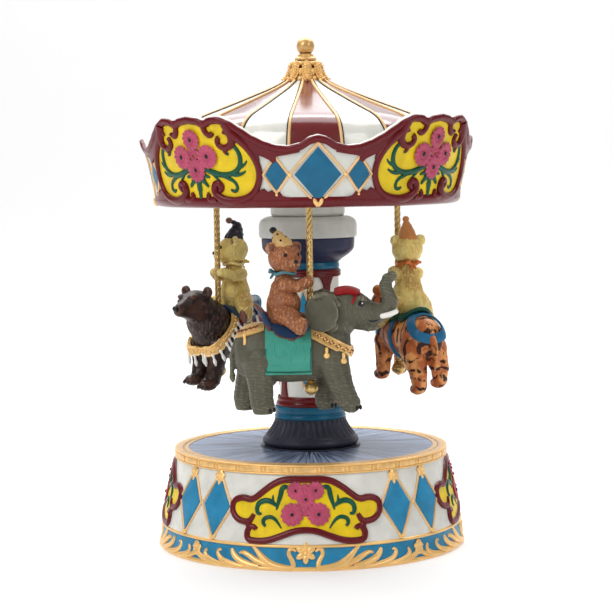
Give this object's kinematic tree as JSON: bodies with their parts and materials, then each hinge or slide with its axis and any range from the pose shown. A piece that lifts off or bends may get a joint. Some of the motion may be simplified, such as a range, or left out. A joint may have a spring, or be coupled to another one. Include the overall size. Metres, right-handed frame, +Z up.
{
  "type": "wind-up carousel music box",
  "caption": "Round wind-up music box shaped as a carousel: flared, framed canopy with striped roof over animals on brass poles, turning on a drum base with a musical movement inside.",
  "frame": {"origin": "centre of the underside of the foot, on the axis that the carousel turns about", "axes": "+Z up along that axis; -Y is the front, where one flower panel of the base faces; +X is to the right seen from the front"},
  "size_m": [0.1624, 0.1624, 0.2471],
  "materials": {
    "white_resin": "glossy cream-white paint on cast resin",
    "burgundy_resin": "glossy burgundy paint on cast resin",
    "blue_resin": "satin blue paint on cast resin with gold relief",
    "floor_resin": "satin lavender-blue paint with dark board lines",
    "slate_resin": "satin dark slate paint",
    "teal_resin": "satin teal-blue paint",
    "red_resin": "satin dark red paint with white panels",
    "navy_resin": "satin navy paint",
    "gold_paint": "antique gold paint",
    "polished_brass": "twisted bright brass",
    "elephant_grey": "satin grey paint with a dark wash",
    "tiger_orange": "satin orange paint with dark stripes",
    "bear_brown": "satin dark brown paint",
    "teddy_brown": "satin brown paint with fur relief",
    "teddy_cream": "satin cream paint with fur relief",
    "brass": "machined brass",
    "steel": "plain steel",
    "black_plate": "black moulded plate"
  },
  "bodies": {
    "base": {"foot_ring": "blue_resin", "base_drum": "white_resin", "stage_floor": "floor_resin", "thrust_washer": "slate_resin", "spindle_bush": "brass", "bottom_plate": "black_plate", "bottom_plate_screws": "steel", "movement_bedplate": "brass", "movement_screws": "steel", "comb": "steel", "comb_screws": "steel", "governor_bracket": "brass", "governor_screws": "steel"},
    "carousel": {"spring_barrel": "brass", "barrel_cap": "brass", "mainspring": "steel", "drive_spindle": "steel", "drive_collar": "steel", "plinth": "slate_resin", "lower_collar": "teal_resin", "column_shaft": "red_resin", "upper_collar": "teal_resin", "capital_cup": "navy_resin", "capital_drum": "white_resin", "hub_plate": "white_resin", "canopy_ceiling": "white_resin", "canopy_fascia": "white_resin", "canopy_roof": "burgundy_resin", "crown": "gold_paint", "finial": "gold_paint", "pole_balls": "gold_paint", "pole_nuts": "steel", "elephant_pole": "polished_brass", "tiger_pole": "polished_brass", "bear_pole": "polished_brass", "elephant": "elephant_grey", "tiger": "tiger_orange", "bear": "bear_brown", "elephant_rider": "teddy_brown", "tiger_rider": "teddy_cream", "bear_rider": "teddy_cream"},
    "key": {"winding_key": "brass", "spring_arbor": "steel"},
    "cylinder": {"cylinder_drum": "brass", "cylinder_arbor": "steel", "cylinder_pinion": "brass", "cylinder_wheel": "brass"},
    "idler": {"idler_wheel": "brass"},
    "governor": {"governor_worm": "steel", "governor_fly": "brass"}
  },
  "joints": [
    {"name": "carousel_spin", "type": "hinge", "parent": "base", "child": "carousel", "pos_m": [0, 0, 0], "axis": [0, 0, 1], "continuous": true},
    {"name": "key_wind", "type": "hinge", "parent": "base", "child": "key", "pos_m": [0, 0, 0], "axis": [0, 0, 1], "range_deg": [0, 1530]},
    {"name": "cylinder_spin", "type": "hinge", "parent": "base", "child": "cylinder", "pos_m": [0, 0, 0.02632], "axis": [1, 0, 0], "continuous": true},
    {"name": "idler_spin", "type": "hinge", "parent": "base", "child": "idler", "pos_m": [0, -0.01, 0.02632], "axis": [1, 0, 0], "continuous": true},
    {"name": "governor_spin", "type": "hinge", "parent": "base", "child": "governor", "pos_m": [0.05, -0.0166, 0], "axis": [0, 0, 1], "continuous": true}
  ],
  "couplings": [
    {"joint": "cylinder_spin", "follows": "carousel_spin", "ratio": 3},
    {"joint": "idler_spin", "follows": "carousel_spin", "ratio": -9},
    {"joint": "governor_spin", "follows": "carousel_spin", "ratio": -180}
  ]
}
